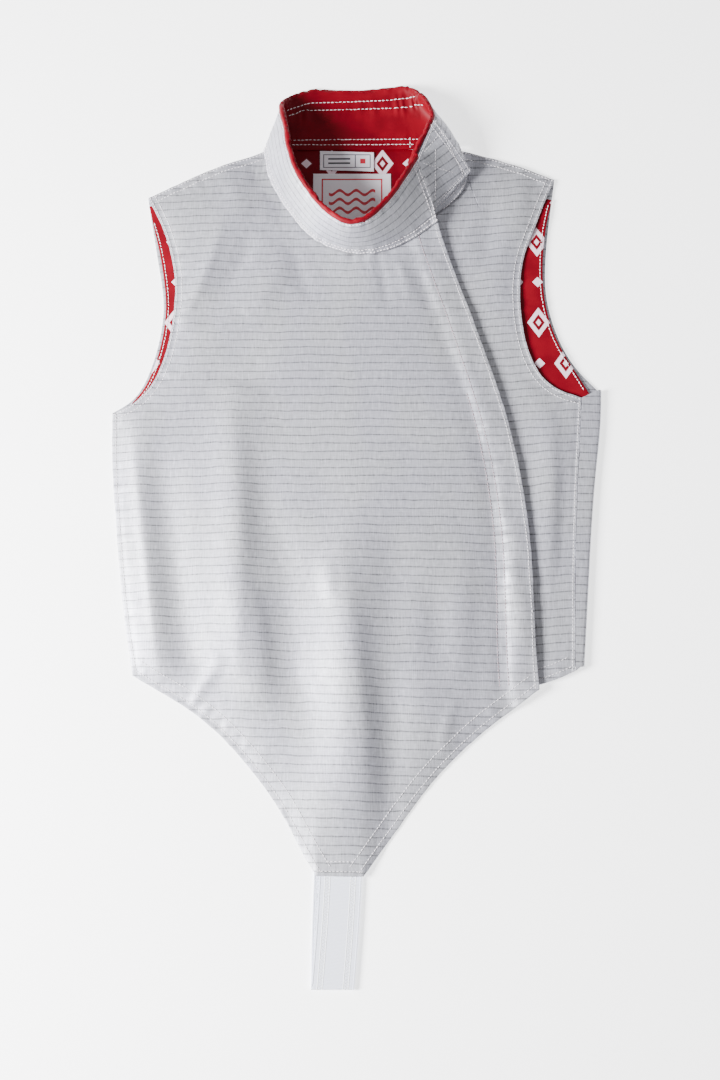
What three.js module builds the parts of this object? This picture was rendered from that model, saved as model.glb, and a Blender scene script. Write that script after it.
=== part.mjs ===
import * as THREE from 'three';

// A child's fencing lame laid flat on its back, front up, its collar standing.
// Millimetres: +X towards the wearer's left side, +Y towards the collar, +Z up from the table.

// Driving dimensions
const CLOTH = 1.2;                // metallic cloth with its facing
const LINING = 1.0;
const WEBBING = 1.4;              // crotch strap
const LABEL = 1.0;
const SEAM_GAP = 0.3;             // between one piece and the next
const STRAP_WIDTH = 35;
const WRAP_HEIGHT = 5.0;          // of the back's strip where it lies on the front side
const FRONT_LEVEL = 5.0;          // right front's height over the back, before it puffs up
const POINT_LEVEL = 2.6;          // and below the back's hem
const LEFT_FRONT_LEVEL = 4.0;
const LEVEL_REACH = 8;            // how far in from an edge a front comes up to its level
const FRONT_PUFF = 4.2;
const PUFF_REACH = 26;            // and puffs up
const SIDE_INSET = 6;             // lining's edge from the side folds
const ARMHOLE_INSET = 2.5;        // lining's edge from the back's armholes
const NECK_ALLOWANCE = 4;         // fronts' necklines inside the collar's lower edge
const NECK_DROP = 2.0;            // and below it
const COLLAR_LIP = 2.6;           // collar lining above the band's top edge

// Heights of the middle of each layer where it lies flat
const BACK_Z = CLOTH / 2;
const BACK_LINING_Z = CLOTH + SEAM_GAP + LINING / 2;
const SEAM_Z = CLOTH + SEAM_GAP + CLOTH / 2;
const LABEL_Z = BACK_LINING_Z + LINING / 2 + SEAM_GAP + LABEL / 2;

// Colours
const LAME_GREY = 0xbfc0c6;
const LINING_RED = 0xa3061f;
const WEBBING_WHITE = 0xf0f0f2;
const LABEL_WHITE = 0xeeeaf0;

// Runs: a few points [x, y, z] along one edge of a piece, joined by a smooth curve

function smoothCurve(rows) {
  const points = rows.map((row) => new THREE.Vector3(...row));
  return new THREE.CatmullRomCurve3(points, false, 'centripetal');
}

const smoothRun = (rows, steps) => smoothCurve(rows).getSpacedPoints(steps);

function joinRuns(...runs) {
  return runs.flatMap((run, index) => (index === 0 ? run : run.slice(1)));
}

function insetRun(run, distance) {
  return run.map((point, index) => {
    const before = run[Math.max(index - 1, 0)];
    const after = run[Math.min(index + 1, run.length - 1)];
    const along = after.clone().sub(before).setZ(0).normalize();
    return point.clone().add(new THREE.Vector3(-along.y, along.x, 0).multiplyScalar(distance));
  });
}

function distanceToRun(run, x, y) {
  let nearest = Infinity;
  for (let index = 1; index < run.length; index += 1) {
    const start = run[index - 1];
    const span = run[index].clone().sub(start);
    const share = ((x - start.x) * span.x + (y - start.y) * span.y) / (span.x ** 2 + span.y ** 2);
    const kept = THREE.MathUtils.clamp(share, 0, 1);
    nearest = Math.min(nearest, Math.hypot(x - start.x - kept * span.x, y - start.y - kept * span.y));
  }
  return nearest;
}

// x of a run that climbs steadily in y
function runX(run, y) {
  const index = run.findIndex((point) => point.y >= y);
  if (index < 1) return index === 0 ? run[0].x : run[run.length - 1].x;
  const share = (y - run[index - 1].y) / (run[index].y - run[index - 1].y);
  return THREE.MathUtils.lerp(run[index - 1].x, run[index].x, share);
}

// Grids: rows of points across a piece, from its four edge runs
const RELAX_PASSES = 80;

function patch(bottom, top, left, right) {
  const columns = bottom.length - 1;
  const rows = left.length - 1;
  return left.map((leftPoint, row) => bottom.map((bottomPoint, column) => {
    const u = column / columns;
    const v = row / rows;
    const sides = leftPoint.clone().lerp(right[row], u);
    const ends = bottomPoint.clone().lerp(top[column], v);
    const low = bottom[0].clone().lerp(bottom[columns], u);
    const high = top[0].clone().lerp(top[columns], u);
    return sides.add(ends).sub(low.lerp(high, v));
  }));
}

// Evens out a panel's points inside its edges, so that no row or column folds over the next
function relax(grid) {
  for (let pass = 0; pass < RELAX_PASSES; pass += 1) {
    for (let r = 1; r < grid.length - 1; r += 1) {
      for (let c = 1; c < grid[r].length - 1; c += 1) {
        const near = (up, right) => grid[r + up][c + right];
        const across = near(0, 1).clone().sub(near(0, -1)).setZ(0);
        const along = near(1, 0).clone().sub(near(-1, 0)).setZ(0);
        const corners = near(1, 1).clone().add(near(-1, -1)).sub(near(1, -1)).sub(near(-1, 1));
        const point = near(0, 1).clone().add(near(0, -1)).multiplyScalar(along.lengthSq());
        point.addScaledVector(near(1, 0), across.lengthSq());
        point.addScaledVector(near(-1, 0), across.lengthSq());
        point.addScaledVector(corners, -across.dot(along) / 2);
        point.divideScalar(2 * (along.lengthSq() + across.lengthSq()));
        grid[r][c].setX(point.x).setY(point.y);
      }
    }
  }
  return grid;
}

function gridNormals(grid) {
  return grid.map((row, r) => row.map((_, c) => {
    const right = row[Math.min(c + 1, row.length - 1)].clone().sub(row[Math.max(c - 1, 0)]);
    const up = grid[Math.min(r + 1, grid.length - 1)][c].clone().sub(grid[Math.max(r - 1, 0)][c]);
    return right.cross(up).normalize();
  }));
}

// Gives every point of a panel its height, from the heights of the edges about it and their distance
const TOUCHING = 0.01;
function settle(grid, edges, heightAt) {
  const outline = edges.flat().map((point) => point.clone());
  for (const point of grid.flat()) {
    const { x, y } = point;
    let sum = 0;
    let weights = 0;
    for (const edgePoint of outline) {
      const away = Math.max(Math.hypot(edgePoint.x - x, edgePoint.y - y), TOUCHING);
      const weight = away ** -3;
      sum += weight * edgePoint.z;
      weights += weight;
    }
    const distance = Math.min(...edges.map((run) => distanceToRun(run, x, y)));
    point.setZ(heightAt(x, y, sum / weights, distance));
  }
}

// A cloth wall: the grids' points are the middle of the cloth, welded where grids meet

function clothWall(grids, thickness) {
  const middle = [];
  const numberOf = new Map();
  const weld = (point) => {
    const key = point.toArray().map((value) => value.toFixed(3)).join();
    if (!numberOf.has(key)) numberOf.set(key, middle.push(point) - 1);
    return numberOf.get(key);
  };
  const quads = grids.flatMap((grid) => grid.slice(1).flatMap((row, r) => row.slice(1).map((point, c) => (
    [weld(grid[r][c]), weld(grid[r][c + 1]), weld(point), weld(row[c])]))));

  const normals = middle.map(() => new THREE.Vector3());
  const sides = new Map();
  for (const quad of quads) {
    const across = middle[quad[2]].clone().sub(middle[quad[0]]);
    const back = middle[quad[3]].clone().sub(middle[quad[1]]);
    const normal = across.cross(back);
    quad.forEach((corner, index) => {
      normals[corner].add(normal);
      const next = quad[(index + 1) % quad.length];
      sides.set(`${corner},${next}`, [corner, next]);
    });
  }

  const positions = [];
  for (const sign of [0.5, -0.5]) {
    middle.forEach((point, index) => {
      const step = normals[index].clone().setLength(sign * thickness);
      positions.push(...point.clone().add(step).toArray());
    });
  }

  const count = middle.length;
  const triangles = [];
  for (const [a, b, c, d] of quads) {
    const shortAC = middle[a].distanceTo(middle[c]) < middle[b].distanceTo(middle[d]);
    const halves = shortAC ? [[a, b, c], [a, c, d]] : [[a, b, d], [b, c, d]];
    for (const [i, j, k] of halves) {
      triangles.push(i, j, k, k + count, j + count, i + count);
    }
  }
  for (const [start, end] of sides.values()) {
    if (!sides.has(`${end},${start}`)) {
      triangles.push(end, start, start + count, end, start + count, end + count);
    }
  }

  const geometry = new THREE.BufferGeometry();
  geometry.setAttribute('position', new THREE.Float32BufferAttribute(positions, 3));
  geometry.setIndex(triangles);
  geometry.computeVertexNormals();
  return geometry;
}

// Collar stations, along the band from its over end, across the front, round the back to its under
// end. base and top are the band's edges, bulge bows it outwards, and the lining starts that far up.
const COLLAR = [
  { base: [74.7, 265.0, 12.4], top: [52.0, 312.4, 38.0], bulge: 1.5, lining: 3 },   // over end
  { base: [58.4, 253.4, 10.0], top: [39.5, 289.4, 43.0], bulge: 2.0, lining: 3 },
  { base: [37.6, 241.2, 9.0], top: [25.3, 267.4, 47.0], bulge: 2.5, lining: 3 },
  { base: [13.9, 234.1, 9.0], top: [9.3, 250.6, 50.0], bulge: 2.5, lining: 3 },    // centre front
  { base: [-8.3, 234.9, 9.0], top: [-7.8, 246.2, 50.0], bulge: 2.5, lining: 3 },
  { base: [-27.6, 241.2, 9.0], top: [-23.5, 255.7, 49.0], bulge: 2.5, lining: 3 },
  { base: [-42.4, 250.6, 9.0], top: [-36.7, 270.2, 48.0], bulge: 2.5, lining: 3 },
  { base: [-57.5, 268.1, 9.0], top: [-48.2, 288.5, 46.0], bulge: 2.5, lining: 3 },
  { base: [-71.0, 288.8, 9.0], top: [-56.4, 306.4, 43.0], bulge: 2.0, lining: 3 },
  { base: [-80.2, 308.4, 8.5], top: [-61.4, 328.9, 38.0], bulge: 1.5, lining: 3 },
  { base: [-82.9, 324.7, 7.0], top: [-64.2, 349.7, 31.0], bulge: 1.0, lining: 3 },
  { base: [-84.4, 335.6, 4.4], top: [-68.6, 368.5, 22.0], bulge: 0.5, lining: 2 }, // right shoulder fold
  { base: [-80.5, 338.0, 2.0], top: [-65.5, 379.1, 13.0], bulge: 0.5, lining: 1 },
  { base: [-67.5, 338.0, 0.7], top: [-54.1, 388.7, 5.0], bulge: 0.5, lining: 0 },
  { base: [-47.5, 338.0, 0.6], top: [-37.8, 394.3, 1.6], bulge: 0, lining: 0 },
  { base: [0.8, 338.2, 0.6], top: [0.8, 392.4, 0.6], bulge: 0, lining: 0 },        // centre back
  { base: [43.6, 338.8, 0.6], top: [32.9, 396.7, 1.2], bulge: 0.5, lining: 0 },
  { base: [73.7, 339.4, 0.8], top: [47.4, 395.2, 6.0], bulge: 1.5, lining: 0 },
  { base: [86.3, 339.4, 1.8], top: [56.3, 386.0, 13.0], bulge: 2.5, lining: 1 },
  { base: [92.6, 337.4, 4.4], top: [64.0, 373.0, 20.0], bulge: 3.5, lining: 2 },   // left shoulder fold
  { base: [97.7, 325.1, 6.4], top: [67.8, 356.0, 26.5], bulge: 2.0, lining: 3 },
  { base: [99.9, 305.6, 6.6], top: [63.9, 346.1, 29.5], bulge: 1.0, lining: 3 },
  { base: [90.9, 288.2, 6.6], top: [56.1, 330.3, 31.0], bulge: 1.0, lining: 3 },
  { base: [78.1, 275.7, 6.6], top: [47.0, 308.7, 31.0], bulge: 1.0, lining: 3 },   // under end
];
const COLLAR_STEPS = 2;           // columns from one station to the next
const COLLAR_ROWS = 4;
const COLLAR_GAP = 0.45;          // from the band to its lining
const LEFT_FRONT_FIRST = 19;      // stations whose bases the left front's neckline follows
const RIGHT_FRONT_LAST = 11;      // last station whose base the right front's neckline follows
const NECK_CENTRE = new THREE.Vector3(5, 300, 0);

const collarBase = smoothCurve(COLLAR.map((station) => station.base));
const collarTop = smoothCurve(COLLAR.map((station) => station.top));

// Sizes given at the stations, read anywhere along the band
function alongCollar(share, column) {
  const place = share * (COLLAR.length - 1);
  const station = Math.min(Math.floor(place), COLLAR.length - 2);
  return THREE.MathUtils.lerp(COLLAR[station][column], COLLAR[station + 1][column], place - station);
}

function collarSection(share, heights) {
  const base = collarBase.getPoint(share);
  const top = collarTop.getPoint(share);
  const up = top.clone().sub(base);
  const outwards = up.clone().cross(collarBase.getTangent(share)).normalize();
  const bulge = alongCollar(share, 'bulge');
  return heights.map((height) => {
    const point = base.clone().addScaledVector(up, height);
    point.addScaledVector(outwards, bulge * 4 * height * Math.max(1 - height, 0));
    return point.setZ(Math.max(point.z, CLOTH / 2));
  });
}

function collarGrid(heightsAt) {
  const columns = (COLLAR.length - 1) * COLLAR_STEPS;
  const sections = [];
  for (let column = 0; column <= columns; column += 1) {
    const share = column / columns;
    const length = collarBase.getPoint(share).distanceTo(collarTop.getPoint(share));
    sections.push(collarSection(share, heightsAt(share, length)));
  }
  return sections[0].map((_, row) => sections.map((section) => section[row]));
}

function makeCollar() {
  const heights = Array.from({ length: COLLAR_ROWS + 1 }, (_, row) => row / COLLAR_ROWS);
  return clothWall([collarGrid(() => heights)], CLOTH);
}

// The lining lies inside the band, and its lip leans back over the band's top edge
function makeCollarLining() {
  const grid = collarGrid((share, length) => {
    const bandRows = Array.from({ length: COLLAR_ROWS }, (_, row) => (row + 1) / COLLAR_ROWS);
    return [alongCollar(share, 'lining') / length, ...bandRows, 1 + COLLAR_LIP / length];
  });
  const inside = CLOTH / 2 + COLLAR_GAP + LINING / 2;
  const lipInside = 0.2;
  const normals = gridNormals(grid);
  grid.forEach((row, r) => row.forEach((point, c) => {
    point.addScaledVector(normals[r][c], r === grid.length - 1 ? lipInside : inside);
  }));
  return clothWall([grid], LINING);
}

// The closing tab lies on the band's under end, its root below the over end
const TAB = {
  rootTop: [49.0, 303.6, 33.2],
  rootLow: [69.4, 273.2, 11.3],
  top: [68.9, 351.6, 32.2],
  right: [102.9, 311.5, 13.6],
  bulge: 2.0,
};
const TAB_STEPS = 5;

function makeTab() {
  const low = smoothRun([TAB.rootLow, TAB.right], TAB_STEPS);
  const high = smoothRun([TAB.rootTop, TAB.top], TAB_STEPS);
  const left = smoothRun([TAB.rootLow, TAB.rootTop], TAB_STEPS);
  const right = smoothRun([TAB.right, TAB.top], TAB_STEPS);
  const grid = patch(low, high, left, right);
  const normals = gridNormals(grid);
  grid.forEach((row, r) => row.forEach((point, c) => {
    const bow = 4 * (r / TAB_STEPS) * (1 - r / TAB_STEPS);
    point.addScaledVector(normals[r][c], TAB.bulge * bow * c / TAB_STEPS);
  }));
  return clothWall([grid], CLOTH);
}

// Neckline run from the collar's base, station by station
function necklineRows(first, last) {
  return COLLAR.slice(first, last + 1).map(({ base }) => {
    const point = new THREE.Vector3(...base);
    const inwards = NECK_CENTRE.clone().sub(point).setZ(0).setLength(NECK_ALLOWANCE);
    return point.add(inwards).setZ(base[2] - NECK_DROP).toArray();
  });
}

// Folds: crests where height is positive and valleys where it is negative, each along a short line

function foldHeight(folds, x, y) {
  return folds.reduce((sum, fold) => {
    const line = [new THREE.Vector3(...fold.from), new THREE.Vector3(...fold.to)];
    const distance = distanceToRun(line, x, y);
    return sum + fold.height * Math.exp(-((distance / fold.halfWidth) ** 2));
  }, 0);
}

const rise = (distance, reach) => 1 - Math.exp(-distance / reach);

// Wearer's right front, on top: from the side seam to the slanting front edge and down to the point
const RIGHT_FRONT = {
  side: [
    [-189.6, -143.2, SEAM_Z], [-198.9, -89, SEAM_Z], [-206.2, -28, SEAM_Z], [-212.8, 42, SEAM_Z],
    [-214.6, 87.6, SEAM_Z],
  ],
  armhole: [
    [-214.6, 87.6, SEAM_Z], [-206, 90, 3.8], [-195.3, 95.4, 4.6], [-180.6, 111.1, 5], [-169, 140, 5.4],
    [-162.6, 178.2, 5.4], [-161.8, 210.6, 5.2], [-172.2, 254.9, 4.6], [-184.5, 281.2, 3.8],
    [-188.8, 289.6, SEAM_Z],
  ],
  shoulder: [[-188.8, 289.6, SEAM_Z], [-136.3, 315.6, SEAM_Z], [-84.3, 335.2, SEAM_Z]],
  edge: [
    [153.6, -155.5, 5.2], [151.5, -127.8, 6.2], [147.7, -17.4, 6.3], [132.6, 74.9, 6.4], [105.9, 161.8, 6.4],
    [76.9, 245.9, 7.2],
  ],
  hemRight: [
    [5.6, -309.8, 4.3], [19, -290.7, 2.0], [31.8, -273.9, 1.0], [63.6, -231.6, 0.6], [100.1, -195.8, 1.0],
    [119.2, -180.5, 2.2], [135.5, -169.2, 3.8], [153.6, -155.5, 5.2],
  ],
  tip: [[-33.5, -309, 4.3], [5.6, -309.8, 4.3]],
  hemLeft: [
    [-189.6, -143.2, SEAM_Z], [-180.1, -150, 1.6], [-153.7, -163.6, 0.6], [-120.1, -188.3, 0.6],
    [-91.6, -218.7, 0.6], [-65.4, -252.8, 0.6], [-46.5, -287.8, 2.0], [-33.5, -309, 4.3],
  ],
};
const RIGHT_FRONT_COLUMNS = { left: 10, tip: 3, right: 10 };
const RIGHT_FRONT_TOP = { shoulder: 8, neck: 15 };
const RIGHT_FRONT_ROWS = { side: 13, armhole: 13 };
const RIGHT_FRONT_FOLDS = [
  { from: [-198, 76], to: [-175, -143], halfWidth: 10, height: 1.8 },
  { from: [-171, 35], to: [-141, -143], halfWidth: 17, height: -3.0 },
  { from: [-104, 94], to: [-94, -150], halfWidth: 18, height: 3.0 },
  { from: [-63, -27], to: [-55, -150], halfWidth: 13, height: -2.4 },
  { from: [-4, -40], to: [-10, -245], halfWidth: 26, height: 4.2 },
  { from: [106, -27], to: [95, -165], halfWidth: 24, height: -2.4 },
  { from: [-112, 272], to: [-152, 176], halfWidth: 13, height: 2.4 },
  { from: [-96, 240], to: [-134, 182], halfWidth: 11, height: -1.6 },
  { from: [-30, 212], to: [-105, 148], halfWidth: 20, height: -2.4 },
  { from: [-131, 117], to: [-84, 115], halfWidth: 9, height: -1.4 },
  { from: [-97, 312], to: [-62, 268], halfWidth: 12, height: -2.0 },
  { from: [36, -193], to: [32, -258], halfWidth: 16, height: -1.8 },
];
const FOLD_FADE = 14;             // folds die away this near to an edge
const POINT_TOP = -125;           // the right front leaves the back at its hem
const POINT_STEP = 40;

// Wearer's left front, below it: shoulder to waist, its own front edge hidden
const LEFT_FRONT = {
  edge: [
    [122, -157, 2.4], [121.6, -132, 3.4], [120, -60, 3.4],
    [110, 60, 3.4], [84, 160, 3.5], [49, 246, 3.8],
  ],
  neckHidden: [[49, 246, 3.8], [60, 258, 4.2]],
  shoulder: [[89, 337.2, SEAM_Z], [128.4, 326.6, SEAM_Z], [164.6, 313.3, SEAM_Z], [178.7, 307.6, SEAM_Z]],
  armhole: [
    [197.0, 101.4, WRAP_HEIGHT], [184.7, 103.8, 5.2], [172.7, 109.3, 5.4], [160.9, 120.3, 5.6],
    [150, 147, 5.6], [144.8, 182.7, 5.4], [147.3, 226.5, 5], [161.3, 264.4, 4.6], [174.5, 299, 3.8],
    [178.7, 307.6, SEAM_Z],
  ],
  hem: [[122, -157, 2.4], [153.7, -151.3, 3.6], [171.6, -145.4, 4.2], [184.5, -139.8, WRAP_HEIGHT]],
};
const LEFT_FRONT_COLUMNS = { neck: 7, shoulder: 6 };
const LEFT_FRONT_ROWS = { side: 10, armhole: 11 };
const LEFT_FRONT_PUFF = 2.0;
const LEFT_FRONT_FOLDS = [
  { from: [117, 308], to: [112, 268], halfWidth: 10, height: -1.0 },
  { from: [136, 290], to: [124, 200], halfWidth: 12, height: 1.6 },
  { from: [172, 70], to: [166, -110], halfWidth: 10, height: 1.2 },
];
const OPEN_REACH = 40;            // the left front rises only clear of the right front's edge

// Back, with the strip that wraps over on to the front at the wearer's left side
const BACK = {
  side: [
    [-188.9, -141.8, BACK_Z], [-198.7, -89, BACK_Z], [-206.2, -28, BACK_Z], [-212.8, 42, BACK_Z],
    [-214.6, 87.8, BACK_Z],
  ],
  armholeRight: [
    [-214.6, 87.8, BACK_Z], [-195.4, 98.6, BACK_Z], [-179.7, 133.3, BACK_Z], [-171.2, 186.2, BACK_Z],
    [-176.7, 220.4, BACK_Z], [-188.8, 289.6, BACK_Z],
  ],
  shoulderRight: [[-188.8, 289.6, BACK_Z], [-136.3, 315.6, BACK_Z], [-84.3, 335.2, BACK_Z]],
  neck: [[-84.3, 335.2, BACK_Z], [-55, 337, BACK_Z], [60, 337.6, BACK_Z], [89, 337.2, BACK_Z]],
  shoulderLeft: [[89, 337.2, BACK_Z], [128.4, 326.6, BACK_Z], [164.6, 313.3, BACK_Z], [178.7, 307.6, BACK_Z]],
  armholeLeft: [
    [211.9, 108.2, BACK_Z], [203.4, 115.5, BACK_Z], [182.9, 144.5, BACK_Z], [168.2, 194.3, BACK_Z],
    [169.3, 238.4, BACK_Z], [178.7, 307.6, BACK_Z],
  ],
  hem: [[-188.9, -141.8, BACK_Z], [-14, -134, BACK_Z], [190, -135.6, BACK_Z]],
  fold: [
    [190, -135.6, BACK_Z], [194.6, -79.3, BACK_Z], [198.8, -26.9, BACK_Z], [204, 26, BACK_Z],
    [209.8, 70, BACK_Z], [212, 95, BACK_Z], [211.9, 108.2, BACK_Z],
  ],
  seam: [
    [184.8, -139.7, WRAP_HEIGHT], [187.9, -39.7, WRAP_HEIGHT], [191.8, 27.9, WRAP_HEIGHT],
    [197.4, 101.2, WRAP_HEIGHT],
  ],
};
const BACK_COLUMNS = { shoulder: 5, neck: 7 };
const BACK_ROWS = { side: 10, armhole: 10 };
const FOLD_STEPS = 5;             // round the wrapped fold
const STRIP_STEPS = 2;            // from the fold to the seam
const LINING_HEM_Y = -112;        // above the back hem's facing
const LINING_ROWS = { side: 6, armhole: 8 };
const LINING_COLUMNS = 24;
const LINING_TOP = [
  [-186.3, 269.6, BACK_LINING_Z], [-136, 292, BACK_LINING_Z], [-98, 308, BACK_LINING_Z],
  [-82, 319, BACK_LINING_Z], [-75, 332, BACK_LINING_Z], [-60, 336.6, BACK_LINING_Z],
  [-30, 337, BACK_LINING_Z], [30, 337, BACK_LINING_Z], [62, 336.8, BACK_LINING_Z],
  [80, 335, BACK_LINING_Z], [87, 325, BACK_LINING_Z],
  [98, 306, BACK_LINING_Z], [132, 300, BACK_LINING_Z], [176.2, 287.6, BACK_LINING_Z],
];
const LINING_POINTS = 7;          // along each side and each armhole
const LINING_CORNERS = {
  right: new THREE.Vector3(-207.5, 85.5, 0),
  left: new THREE.Vector3(206.2, 107.2, 0),
};

function makeRightFront() {
  const shoulder = smoothRun(RIGHT_FRONT.shoulder, RIGHT_FRONT_TOP.shoulder);
  const neckRows = necklineRows(0, RIGHT_FRONT_LAST - 1).reverse();
  const neck = smoothRun([RIGHT_FRONT.shoulder.at(-1), ...neckRows], RIGHT_FRONT_TOP.neck);
  const edgeRows = [...RIGHT_FRONT.edge, neckRows.at(-1)];
  const edge = smoothRun(edgeRows, RIGHT_FRONT_ROWS.side + RIGHT_FRONT_ROWS.armhole);
  const side = joinRuns(
    smoothRun(RIGHT_FRONT.side, RIGHT_FRONT_ROWS.side),
    smoothRun(RIGHT_FRONT.armhole, RIGHT_FRONT_ROWS.armhole),
  );
  const hem = joinRuns(
    smoothRun(RIGHT_FRONT.hemLeft, RIGHT_FRONT_COLUMNS.left),
    smoothRun(RIGHT_FRONT.tip, RIGHT_FRONT_COLUMNS.tip),
    smoothRun(RIGHT_FRONT.hemRight, RIGHT_FRONT_COLUMNS.right),
  );
  const top = joinRuns(shoulder, neck);
  const grid = relax(patch(hem, top, side, edge));
  settle(grid, [side, hem, top, edge], (x, y, edgeZ, distance) => {
    const below = THREE.MathUtils.smoothstep(y, POINT_TOP - POINT_STEP, POINT_TOP);
    const level = THREE.MathUtils.lerp(POINT_LEVEL, FRONT_LEVEL, below);
    const flat = THREE.MathUtils.lerp(edgeZ, level, rise(distance, LEVEL_REACH));
    const folds = foldHeight(RIGHT_FRONT_FOLDS, x, y) * rise(distance, FOLD_FADE);
    return Math.max(flat + FRONT_PUFF * rise(distance, PUFF_REACH) + folds, CLOTH / 2);
  });
  return clothWall([grid], CLOTH);
}

function makeLeftFront() {
  const hem = smoothRun(LEFT_FRONT.hem, LEFT_FRONT_COLUMNS.neck + LEFT_FRONT_COLUMNS.shoulder);
  const neckRows = necklineRows(LEFT_FRONT_FIRST + 1, COLLAR.length - 1).reverse();
  const neck = smoothRun(
    [...LEFT_FRONT.neckHidden, ...neckRows, LEFT_FRONT.shoulder[0]],
    LEFT_FRONT_COLUMNS.neck,
  );
  const top = joinRuns(neck, smoothRun(LEFT_FRONT.shoulder, LEFT_FRONT_COLUMNS.shoulder));
  const edge = smoothRun(LEFT_FRONT.edge, LEFT_FRONT_ROWS.side + LEFT_FRONT_ROWS.armhole);
  const seamRows = BACK.seam.map(([x, y, z]) => [x - SEAM_GAP, y, z]);
  const side = joinRuns(
    smoothRun(seamRows, LEFT_FRONT_ROWS.side),
    smoothRun(LEFT_FRONT.armhole, LEFT_FRONT_ROWS.armhole),
  );
  const cover = smoothRun(RIGHT_FRONT.edge, LEFT_FRONT_ROWS.side);
  const grid = relax(patch(hem, top, edge, side));
  settle(grid, [side, hem, top, edge], (x, y, edgeZ, distance) => {
    const open = THREE.MathUtils.smoothstep(x - runX(cover, y), 0, OPEN_REACH);
    const flat = THREE.MathUtils.lerp(edgeZ, LEFT_FRONT_LEVEL, rise(distance, LEVEL_REACH));
    const puff = LEFT_FRONT_PUFF * rise(distance, PUFF_REACH);
    const folds = foldHeight(LEFT_FRONT_FOLDS, x, y) * rise(distance, FOLD_FADE);
    return flat + (puff + folds) * open;
  });
  return clothWall([grid], CLOTH);
}

function makeBack() {
  const columns = 2 * BACK_COLUMNS.shoulder + BACK_COLUMNS.neck;
  const side = smoothRun(BACK.side, BACK_ROWS.side);
  const fold = smoothRun(BACK.fold, BACK_ROWS.side);
  const seam = smoothRun(BACK.seam, BACK_ROWS.side);
  const underarm = smoothRun([BACK.side.at(-1), BACK.fold.at(-1)], columns);
  const top = joinRuns(
    smoothRun(BACK.shoulderRight, BACK_COLUMNS.shoulder),
    smoothRun(BACK.neck, BACK_COLUMNS.neck),
    smoothRun(BACK.shoulderLeft, BACK_COLUMNS.shoulder),
  );
  const lower = relax(patch(smoothRun(BACK.hem, columns), underarm, side, fold));
  const upper = relax(patch(
    underarm,
    top,
    smoothRun(BACK.armholeRight, BACK_ROWS.armhole),
    smoothRun(BACK.armholeLeft, BACK_ROWS.armhole),
  ));
  const radius = (WRAP_HEIGHT - BACK_Z) / 2;
  const strip = fold.map((start, row) => {
    const section = [];
    for (let step = 0; step <= FOLD_STEPS; step += 1) {
      const angle = Math.PI * (step / FOLD_STEPS - 0.5);
      section.push(start.clone().add(new THREE.Vector3(
        radius * Math.cos(angle), 0, radius * (1 + Math.sin(angle)))));
    }
    const roundedOver = section.at(-1);
    for (let step = 1; step <= STRIP_STEPS; step += 1) {
      section.push(roundedOver.clone().lerp(seam[row], step / STRIP_STEPS));
    }
    return section;
  });
  return clothWall([lower, upper, strip], CLOTH);
}

// The lining follows the back, inside its side folds and armholes
function makeBackLining() {
  const rows = LINING_ROWS.side + LINING_ROWS.armhole;
  const lift = (run) => run.map((point) => point.clone().setZ(BACK_LINING_Z));
  const inner = (sideRows, armholeRows, sideStep, armholeStep, corner, shoulder) => {
    const side = insetRun(smoothRun(sideRows, LINING_POINTS), sideStep);
    const armhole = insetRun(smoothRun(armholeRows, LINING_POINTS), armholeStep);
    const points = [
      ...side.filter((point) => point.y > LINING_HEM_Y).slice(0, -1), corner,
      ...armhole.slice(1, -1), shoulder,
    ];
    return smoothRun(points.map((point) => point.toArray()), rows);
  };
  const top = smoothRun(LINING_TOP, LINING_COLUMNS);
  const left = lift(inner(
    BACK.side, BACK.armholeRight, -SIDE_INSET, -ARMHOLE_INSET, LINING_CORNERS.right, top[0]));
  const right = lift(inner(
    BACK.fold, BACK.armholeLeft, SIDE_INSET, ARMHOLE_INSET, LINING_CORNERS.left, top.at(-1)));
  const hem = smoothRun([left[0].toArray(), right[0].toArray()], LINING_COLUMNS);
  return clothWall([relax(patch(hem, top, left, right))], LINING);
}

// Labels on the back lining, sewn below the collar: corners at their tops and bottoms
const SIZE_LABEL = { left: -33.8, right: 15.3, low: 316.4, high: 335.0, slant: 1.4 };
const NECK_PATCH = { left: -39.8, right: 30.6, low: 249, high: 312.8, slant: 0.2 };

function makeLabel(label) {
  const corner = (x, y) => [x, y, LABEL_Z];
  const low = smoothRun([corner(label.left, label.low), corner(label.right, label.low - label.slant)], 3);
  const high = smoothRun([corner(label.left, label.high), corner(label.right, label.high - label.slant)], 3);
  const left = smoothRun([low[0].toArray(), high[0].toArray()], 2);
  const right = smoothRun([low.at(-1).toArray(), high.at(-1).toArray()], 2);
  return clothWall([patch(low, high, left, right)], LABEL);
}

// Crotch strap: one length of webbing folded at the bottom, from the inside of the back hem to below
// the front's point. Each row is a place along it, by its middle.
const STRAP = {
  bottomY: -399.5,
  backZ: WEBBING / 2,
  frontZ: WEBBING * 1.5 + 0.4,
  backRows: [
    { x: -14, y: -119, z: 2.3 }, { x: -14, y: -136.5, z: 2.3 }, { x: -14.2, y: -143.5, z: WEBBING / 2 },
    { x: -15.4, y: -215, z: WEBBING / 2 }, { x: -17.8, y: -310, z: WEBBING / 2 },
    { x: -19.6, y: -360, z: WEBBING / 2 },
  ],
  foldX: -19.6,
  frontRows: [{ x: -16.3, y: -360 }, { x: -13.4, y: -312 }, { x: -13.0, y: -296 }],
};

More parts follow.
